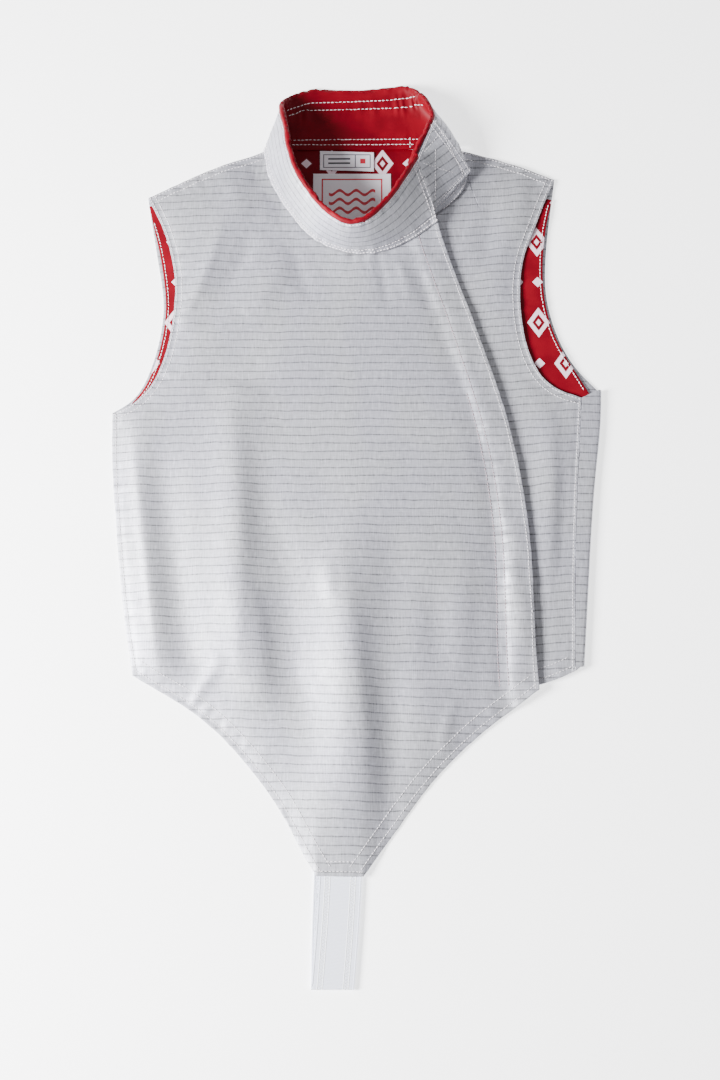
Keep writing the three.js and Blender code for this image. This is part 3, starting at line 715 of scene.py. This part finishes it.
settle(points, left_front, CLOTH, under=[nodes["back_panel"], back_lining],
       over=[nodes[name] for name in ("front_right", "collar", "collar_tab")])
pull(points, LEFT_NECK_TIP, reach=11, move=(-9, -1, 0))
shift(points, size=9, amount=0.35, seed=14)
move_points(left_front, points)
make_wall(left_front, CLOTH, lame_cloth)
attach(left_front, "root")
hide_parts("front_left")
left_front_stitching = sew(
    "left_front_stitching", left_front,
    seams(left_rows, armhole=(1.8, 6.4), shoulder=(1.6, 7.0), side=(2.0,), hem=(4.6, 13.0)),
    thread, seed=22)


# Right front
# The wearer's right front, of metallic cloth, crosses to the left side and closes there along its
# slanting edge, which has a facing 26 mm wide. It runs down to a point for the crotch strap.

FACING_WIDTH = 26
FACING_EDGE = 2.2
FACING_HEIGHT = 1.2
FACING_RISE = 1.4
SEAM_TROUGH = 1.3
TROUGH_OFFSET = 3
TROUGH_WIDTH = 9
CHEST_LEVEL = 190
CHEST_FADE = 25
STRIPE_SAG = 0.003
SAG_SWING = 0.11
SAG_GROWTH = 0.15


def below(values, limit, softness):
    """1 below a limit and 0 above it, going over softly."""
    return 1 / (1 + np.exp((values - limit) / softness))


right_front = smoothed(one_side("front_right", UP), "right_front", levels=3)
right_rows = edge_rows(
    right_front,
    side=((-214.6, 87.6), (-189.6, -143.2)),
    hem_left=((-189.6, -143.2), (-33.5, -309)),
    tip=((-33.5, -309), (5.6, -309.8)),
    hem_right=((5.6, -309.8), (153.6, -155.5)),
    closure=((153.6, -155.5), (71.1, 266.8)),
    neckline=((71.1, 266.8), (-84.3, 335.2)),
    shoulder=((-84.3, 335.2), (-188.8, 289.6)),
    armhole=((-188.8, 289.6), (-214.6, 87.6)),
)
right_creases = [
    Crease((-199, 96), (-164, -150), 0, 7, 15, 1.7),
    Crease((-176, 40), (-146, -150), 0, 14, 16, -1.3),
    Crease((-112, 100), (-104, -150), 6, 24, 12, 2.4),
    Crease((-92, -60), (-79, -172), 2, 18, 11, 2.0),
    Crease((-83, 60), (-74, -60), 0, 14, 14, -1.1),
    Crease((-20, -25), (6, -262), 5, 30, 13, 2.8),
    Crease((-26, -42), (-22, -84), 0, 8, 8, 0.8),
    Crease((8, 60), (16, -250), 0, 34, 80, 2.2),
    Crease((30, -20), (26, -190), 0, 20, 22, -1.6),
    Crease((30, -130), (22, -290), 2, 14, 14, -1.3),
    Crease((62, -60), (66, -150), 3, 12, 14, -1.0),
    Crease((96, -20), (88, -160), -2, 16, 12, 1.1),
    Crease((130, 0), (142, -135), 0, 9, 8, 1.0),
    Crease((88, 160), (118, 60), -2, 12, 9, 0.7),
    Crease((-120, 262), (-158, 168), 4, 6, 6, 1.2),
    Crease((-92, 250), (-128, 190), 3, 8, 8, -1.2),
    Crease((-60, 236), (-100, 176), 4, 14, 10, 1.2),
    Crease((-131, 122), (-84, 114), 0, 9, 8, -0.6),
    Crease((-128, 108), (-78, 102), 0, 8, 8, 0.4),
    Crease((-100, 336), (-62, 262), 3, 9, 8, -2.2),
    Crease((-124, 322), (-98, 262), 3, 12, 10, 1.0),
    Crease((-60, 246), (-38, 190), -3, 8, 8, -0.8),
    Crease((18, 232), (26, 180), 2, 5, 5, -0.7),
    Crease((34, 232), (46, 190), 2, 5, 5, 0.7),
    Crease((50, 226), (66, 176), 1, 6, 6, -0.6),
    Crease((-140, -172), (-112, -128), 2, 6, 6, 0.8),
    Crease((70, -215), (84, -160), 2, 6, 6, 0.7),
]
points = points_of(right_front)
sag = STRIPE_SAG * np.sin(points[:, 0] / SAG_SWING) * np.clip(-points[:, 1] / SAG_GROWTH, 0, 1)
lay_pattern(right_front, points[:, 0], points[:, 1] + sag)
points[:, 2] += crease_lift(points, right_creases)
from_closure, _ = measure(points, right_rows["closure"][0])
on_facing = below(from_closure, FACING_WIDTH, FACING_EDGE)
low_down = below(points[:, 1] / MM, CHEST_LEVEL, CHEST_FADE)
uneven_facing = 1 + 0.6 * wobble(points, size=13, seed=15, stretch=(1, 0.55, 1))
from_trough = from_closure - FACING_WIDTH - TROUGH_OFFSET
points[:, 2] += FACING_HEIGHT * MM * on_facing * uneven_facing
points[:, 2] += FACING_RISE * MM * on_facing * low_down * (1 - from_closure / FACING_WIDTH)
points[:, 2] -= SEAM_TROUGH * MM * low_down * bell(from_trough, TROUGH_WIDTH)
for name, row in right_rows.items():
    gather = 0.5 if name == "side" else 0.9
    points[:, 2] += puckers(points, inside(row, 5), reach=10, depth=gather, seed=31, pitch=8)
    if name != "neckline":
        points[:, 2] += groove(points, inside(row, 4.5), width=2.4, depth=0.45)
closure_rows = [
    inside(right_rows["closure"], 25.2, first=4, last=2, end_distance=19.5),
    inside(right_rows["closure"], 33.0, first=4, last=160, end_distance=24.0),
]
for line in closure_rows:
    drawn_in = groove(points, line, width=1.7, depth=0.45)
    points[:, 2] += drawn_in + puckers(points, line, reach=9, depth=1.0, seed=33, pitch=6)
points[:, 2] += 0.3 * MM * wobble(points, size=30, seed=7, stretch=(1, 0.35, 1))
settle(points, right_front, CLOTH, over=[nodes["collar"]],
       under=[nodes["back_panel"], nodes["crotch_strap"], back_lining, left_front])
shift(points, size=9, amount=0.35, seed=16)
move_points(right_front, points)
make_wall(right_front, CLOTH, lame_cloth)
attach(right_front, "root")
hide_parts("front_right")
# The closure rows' thread: partly its own pinkish colour, partly painted shade of the grooves the rows
# sink into, so it is darker than the other thread.
closure_thread_with_painted_shade, _, _ = new_material("closure_thread_with_painted_shade", Base_Color=(0.34, 0.25, 0.28, 1), Roughness=0.45)
closure_stitching = sew("closure_stitching", right_front, closure_rows, closure_thread_with_painted_shade, seed=34)
right_front_stitching = sew(
    "right_front_stitching", right_front,
    seams(right_rows, closure=(2.8,), hem_left=(5.0, 14.0), hem_right=(5.0, 14.0), tip=(4.0,))
    + [inside(right_rows["tip"], 12.0, first=7.5, last=7.5)]
    + seams(right_rows, side=(3.5,), shoulder=(1.6, 7.0), armhole=(1.8, 6.4)),
    thread, seed=32)


# Collar
# A standing band of metallic cloth, cut as one long strip. It goes from its over end at the
# wearer's left, across the front and round the back to its under end. Stitches run along both its
# long edges and its over end.

BAND_WIDTH = 52 * MM
UNDER_LOW = (78.1, 275.7, 6.6)
OVER_LOW = (74.7, 265.0, 12.4)
OVER_HIGH = (52.0, 312.4, 38.0)
UNDER_HIGH = (47.0, 308.7, 31.0)
TINY = 1e-6

collar = smoothed(one_side("collar", DOWN), "collar_band", levels=3)
collar_rows = edge_rows(
    collar,
    base=(UNDER_LOW, OVER_LOW),
    over_end=(OVER_LOW, OVER_HIGH),
    top=(OVER_HIGH, UNDER_HIGH),
    under_end=(UNDER_HIGH, UNDER_LOW),
)
points = points_of(collar)
from_base, along_band = measure(points, collar_rows["base"][0])
from_top, _ = measure(points, collar_rows["top"][0])
lay_pattern(collar, along_band * MM, BAND_WIDTH * from_base / (from_base + from_top + TINY))
lifts = 0.5 * MM * wobble(points, size=18, seed=8)
from_end, _ = measure(points, collar_rows["over_end"][0])
lifts += 0.9 * MM * bell(from_end, 9)
for row in collar_rows.values():
    lifts += puckers(points, inside(row, 3.5), reach=7, depth=1.2, seed=41, pitch=6)
    lifts += groove(points, inside(row, 3.5), width=2.2, depth=0.45)
stand_out(collar, lifts)
points = points_of(collar)
pull(points, UNDER_LOW, reach=13, move=(-10, -6, 0.5))
points[:, 2] = np.maximum(points[:, 2], 0)
move_points(collar, points)
make_wall(collar, CLOTH, lame_cloth)
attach(collar, "root")
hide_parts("collar")
collar_stitching = sew(
    "collar_stitching", collar,
    seams(collar_rows, base=(1.8, 6.0), top=(4.5,), over_end=(2.6, 6.6)), white_thread, seed=42)


# Collar lining
# The band's lining, of the same red cloth. Its top edge is rolled over the band's edge as a soft
# red lip, gathered a little, and white rows hold it along the top and at the neck seam, where its low
# edge laps over the back lining's.

Step = namedtuple("Step", "up out")

LIP_STEPS = [Step(0.9, 0.9), Step(0.1, 2.2), Step(-1.5, 1.1), Step(-2.2, 0.1)]
LIP_START = (47.0, 308.7, 33.6)
LIP_END = (52.0, 312.4, 40.6)
LIP_REACH = 4
LIP_FULLNESS = 0.7
LIP_SWELL = 0.9
LIP_NOTCH = 2.2
LINING_END = (72, 270.5, 15)
BEHIND_HEIGHT = 3.5 * MM
NECK_SEAM = 338.3
SEAM_REACH = 2.5
SEAM_LAP = 1.9
SEAM_LIFT = 0.8


def roll_over(bm, verts, steps):
    """Carries one stretch of a sheet's edge on over the piece behind it, step by step, in mm."""
    directions = {}
    for vert in verts:
        behind = [edge.other_vert(vert) for edge in vert.link_edges if not edge.is_boundary]
        up = (vert.co - behind[0].co).normalized() if behind else None
        directions[vert] = (up, -vert.normal.copy())
    inner = next(up for up, _ in directions.values() if up)
    for vert, (up, out) in directions.items():
        inner = up or inner
        directions[vert] = (inner, out)
    for step in steps:
        edges = [edge for edge in bm.edges if edge.is_boundary and set(edge.verts) <= set(directions)]
        made = bmesh.ops.extrude_edge_only(bm, edges=edges)["geom"]
        carried = {}
        for vert in (item for item in made if isinstance(item, bmesh.types.BMVert)):
            source = next(
                edge.other_vert(vert) for edge in vert.link_edges if edge.other_vert(vert) in directions)
            up, out = directions[source]
            vert.co = source.co + (up * step.up + out * step.out) * MM
            carried[vert] = (up, out)
        directions = carried


lining_bm = one_side("collar_lining", UP)
around = outline_of(lining_bm)
first, last = (
    min(range(len(around)), key=lambda index: (around[index].co - Vector(place) * MM).length)
    for place in (LIP_START, LIP_END))
lip = [around[(first + step) % len(around)] for step in range((last - first) % len(around) + 1)]
lip_line = np.array([vert.co.copy() for vert in lip])
roll_over(lining_bm, lip, LIP_STEPS)
collar_lining = smoothed(lining_bm, "collar_lining_cloth", levels=3)
points = points_of(collar_lining)
lay_pattern(collar_lining, points[:, 0], points[:, 1])
neck_rows = {
    "top": np.array([(-64.8, 372.3, 9), (-43.9, 382.2, 4), (5, 384.5, 2), (54.6, 386.7, 7)]) * MM,
    "second": np.array([(-62.2, 366.9, 9), (-50.4, 374.6, 4), (5, 376.8, 2), (61.1, 378.0, 9)]) * MM,
    "seam": np.array([(-62.3, 345.7, 3), (-14.7, 346.7, 2), (64, 347.1, 3)]) * MM,
    "low": np.array([(-60, 341.3, 2), (52, 341.8, 2)]) * MM,
    "bar": np.array([(48.2, 349.5, 3), (48.1, 337.5, 2)]) * MM,
}
between_rows = (neck_rows["top"] + neck_rows["second"]) / 2
lifts = 0.35 * MM * wobble(points, size=12, seed=9)
lifts += np.abs(puckers(points, between_rows, reach=9, depth=3.6, seed=51, pitch=4))
lifts += np.abs(puckers(points, neck_rows["seam"], reach=7, depth=1.4, seed=52, pitch=6))
lip_form = LIP_SWELL * wobble(points, size=9, seed=13) + LIP_FULLNESS
lip_form -= LIP_NOTCH * np.abs(wobble(points, size=5, seed=17))
lifts += bell(measure(points, lip_line)[0], LIP_REACH) * lip_form * MM
stand_out(collar_lining, lifts)
points = points_of(collar_lining)
pull(points, LINING_END, reach=12, move=(-8, 2, 0))
flat_behind = points[:, 2] < BEHIND_HEIGHT
near_seam = flat_behind * bell(points[:, 1] / MM - NECK_SEAM, SEAM_REACH)
points[:, 1] -= SEAM_LAP * MM * near_seam
points[:, 2] += SEAM_LIFT * MM * near_seam
points[:, 2] = np.maximum(points[:, 2], NEAR)
move_points(collar_lining, points)
make_wall(collar_lining, LINING, plain_lining)
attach(collar_lining, "root")
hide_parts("collar_lining")
collar_lining_stitching = sew(
    "collar_lining_stitching", collar_lining, list(neck_rows.values()), white_thread, seed=53,
    pitch=3.6 * MM)


# Collar tab
# A short tab of metallic cloth below the band's over end. It closes the collar, and a patch inside
# it is held by a sewn box with a cross.

TAB_TILT = math.radians(12)

tab = smoothed(one_side("collar_tab", (0.4, 0, 1)), "closing_tab", levels=4)
tab_rows = edge_rows(
    tab,
    low=((69.4, 273.2, 11.3), (102.9, 311.5, 13.6)),
    tip=((102.9, 311.5, 13.6), (68.9, 351.6, 32.2)),
    high=((68.9, 351.6, 32.2), (49.0, 303.6, 33.2)),
)
points = points_of(tab)
from_low, along_low = measure(points, tab_rows["low"][0])
lay_pattern(
    tab, (along_low * math.cos(TAB_TILT) - from_low * math.sin(TAB_TILT)) * MM,
    (along_low * math.sin(TAB_TILT) + from_low * math.cos(TAB_TILT)) * MM)
box_rows = [
    np.array(line) * MM for line in (
        [(74.9, 341, 29), (59.5, 320.5, 31)],
        [(74.9, 341, 29), (96.0, 307.0, 16)],
        [(96.0, 307.0, 16), (72.0, 280.0, 15)],
        [(58.0, 311.2, 29), (87.0, 306.8, 19)],
        [(69.0, 325.5, 26), (69.3, 309.5, 24), (70.6, 280.5, 16)],
    )]
lifts = 0.3 * MM * wobble(points, size=12, seed=10)
for row in tab_rows.values():
    lifts += puckers(points, inside(row, 2.5), reach=5, depth=0.6, seed=61, pitch=6)
for line in box_rows:
    lifts += groove(points, line, width=2.2, depth=0.3)
stand_out(tab, lifts)
make_wall(tab, CLOTH, lame_cloth)
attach(tab, "root")
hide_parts("collar_tab")
tab_stitching = sew(
    "tab_stitching", tab, box_rows + seams(tab_rows, low=(1.8,), tip=(1.8, 6.5), high=(1.8,)),
    thread, seed=62, pitch=2.6 * MM, thickness=0.36 * MM)


# Labels
# Two woven satin labels on the back lining, below the collar: a small one for the size and a larger
# patch. Their prints are plain shapes: bars and a square on one, a frame and waves on the other.

LABEL = 0.6 * MM
SATIN_DARK = (0.76, 0.73, 0.80, 1)
SATIN_LIGHT = (0.84, 0.81, 0.86, 1)
RED_INK = (0.50, 0.01, 0.03, 1)
DARK_INK = (0.03, 0.03, 0.045, 1)
INK_BLUR = 0.12
WAVE_TURN = 0.42
WAVE_HEIGHT = -2.2
WAVE_EDGE = (1.3, 1.6)


def woven_label(name, draw):
    """Pale satin. draw gives the red and dark inks, from the sockets of the place on the label."""
    material, tree, shader = new_material(name, Roughness=0.4, Sheen_Weight=0.2)
    red, dark = draw(tree, *place_on_cloth(tree))
    satin = noise_value(tree, 0.3, 3.0, detail=2)
    ground = mix_colors(tree, satin, SATIN_DARK, SATIN_LIGHT)
    with_red = mix_colors(tree, red, ground, RED_INK)
    tree.links.new(mix_colors(tree, dark, with_red, DARK_INK), shader.inputs["Base Color"])
    fine_relief(tree, shader, satin, strength=0.2, depth=0.1)
    return material


def gap(tree, first, second):
    """How far apart two values are."""
    return calculate(tree, "ABSOLUTE", calculate(tree, "SUBTRACT", first, second))


def block(tree, x, y, left, right, low, high):
    """1 inside an upright rectangle given in mm, 0 outside."""
    halves = ((x, (left + right) / 2, (right - left) / 2), (y, (low + high) / 2, (high - low) / 2))
    sides = []
    for value, middle, half in halves:
        sides.append(remap(tree, gap(tree, value, middle), half - INK_BLUR, half + INK_BLUR, 1, 0))
    return calculate(tree, "MULTIPLY", *sides)


def frame_line(tree, x, y, half_width, half_height, line):
    """1 on a rectangle's line round the label's middle."""
    outer = block(tree, x, y, -half_width, half_width, -half_height, half_height)
    hole = block(tree, x, y, line - half_width, half_width - line, line - half_height, half_height - line)
    return calculate(tree, "SUBTRACT", outer, hole)


def draw_size_label(tree, x, y):
    """A dark frame with a bar across it, two dark bars at its left and a red square at its right."""
    divider = block(tree, x, y, left=7.2, right=8.0, low=-6.6, high=6.6)
    outline = frame_line(tree, x, y, half_width=21.5, half_height=6.6, line=0.8)
    dark = calculate(tree, "MAXIMUM", outline, divider)
    for low in (-2.9, 1.3):
        bar = block(tree, x, y, left=-17, right=3, low=low, high=low + 1.6)
        dark = calculate(tree, "MAXIMUM", dark, bar)
    return block(tree, x, y, left=12.0, right=16.8, low=-2.4, high=2.4), dark


def draw_neck_patch(tree, x, y):
    """A red frame with three red waves in it, and nothing dark."""
    red = frame_line(tree, x, y, half_width=27.5, half_height=27.0, line=1.3)
    swing = calculate(tree, "SINE", calculate(tree, "MULTIPLY", x, WAVE_TURN))
    from_wave = calculate(tree, "MULTIPLY_ADD", swing, WAVE_HEIGHT, y)
    for middle in (-3.5, 5.0, 13.5):
        wave = calculate(tree, "MULTIPLY", remap(tree, gap(tree, from_wave, middle), *WAVE_EDGE, 1, 0),
                         block(tree, x, y, left=-21, right=21, low=-12, high=20))
        red = calculate(tree, "MAXIMUM", red, wave)
    return red, 0.0


for name, node, draw, edge_inset in (
    ("size_label_cloth", "size_label", draw_size_label, 1.2),
    ("neck_patch_cloth", "neck_patch", draw_neck_patch, 2.0),
):
    label = smoothed(one_side(node, UP), name, levels=4)
    points = points_of(label)
    middle = (points.max(axis=0) + points.min(axis=0)) / 2
    half = (points.max(axis=0) - points.min(axis=0)) / 2
    lay_pattern(label, points[:, 0] - middle[0], points[:, 1] - middle[1])
    points[:, 2] += 0.35 * MM * (1 + wobble(points, size=16, seed=12))
    move_points(label, points)
    make_wall(label, LABEL, woven_label(name, draw))
    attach(label, "root")
    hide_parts(node)
    east, north, top = (middle + half) / MM
    west, south, _ = (middle - half) / MM
    rows = edge_rows(
        label,
        high=((east, north, top), (west, north, top)),
        left=((west, north, top), (west, south, top)),
        right=((east, south, top), (east, north, top)),
    )
    sew(name + "_stitching", label, [inside(row, edge_inset) for row in rows.values()],
        white_thread, seed=71, pitch=2.4 * MM, thickness=0.24 * MM)


# Crotch strap
# White elastic 35 mm wide, folded once: from inside the back's hem down to the fold, and up again
# on top to below the right front's point. Two zigzag bands are woven into it, near its edges.

WEBBING = 1.4 * MM
HALF_STRAP = 17.5
BAND_INSET = 7.0
ZIGZAG_STEP = 1.3
ZIGZAG_SLOPE = 2.2
ZIGZAG_EDGE = (0.25, 0.7)
RAIL_PLACE = 2.1
RAIL_EDGE = (0.15, 0.5)
RIB_STEP = 0.55
ELASTIC_COLOR = (0.79, 0.82, 0.94, 1)
BAND_COLOR = (0.97, 0.98, 1.0, 1)


def white_elastic():
    """White ribbed elastic, with a zigzag between two rails near each edge, and a raised rim."""
    material, tree, shader = new_material("white_elastic", Roughness=0.75, Sheen_Weight=0.2)
    across, along = place_on_cloth(tree)
    from_middle = calculate(tree, "ABSOLUTE", across)
    from_band = calculate(tree, "SUBTRACT", from_middle, HALF_STRAP - BAND_INSET)
    step = calculate(tree, "PINGPONG", along, ZIGZAG_STEP)
    swing = calculate(tree, "MULTIPLY_ADD", step, ZIGZAG_SLOPE, -ZIGZAG_STEP * ZIGZAG_SLOPE / 2)
    zigzag = remap(tree, gap(tree, from_band, swing), *ZIGZAG_EDGE, 1, 0)
    aside = calculate(tree, "ABSOLUTE", from_band)
    rails = remap(tree, gap(tree, aside, RAIL_PLACE), *RAIL_EDGE, 1, 0)
    band = calculate(tree, "MAXIMUM", zigzag, rails)
    ribs = calculate(tree, "PINGPONG", along, RIB_STEP)
    rim = remap(tree, from_middle, HALF_STRAP - 1.6, HALF_STRAP - 1.0, 0, 1)
    tree.links.new(mix_colors(tree, band, ELASTIC_COLOR, BAND_COLOR), shader.inputs["Base Color"])
    height = calculate(tree, "MULTIPLY_ADD", ribs, 0.9, calculate(tree, "MULTIPLY", band, 0.7))
    height = calculate(tree, "MULTIPLY_ADD", rim, 0.8, height)
    fine_relief(tree, shader, height, strength=0.9, depth=0.5)
    return material


strap = smoothed(one_side("crotch_strap", DOWN), "strap_elastic", levels=3)
strap_rows = edge_rows(strap, right=((-30.5, -296, 3.2), (-31.5, -119, 1.6)))
points = points_of(strap)
from_edge, along_edge = measure(points, strap_rows["right"][0])
lay_pattern(strap, (from_edge - HALF_STRAP) * MM, along_edge * MM)
make_wall(strap, WEBBING, white_elastic())
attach(strap, "root")
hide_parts("crotch_strap")
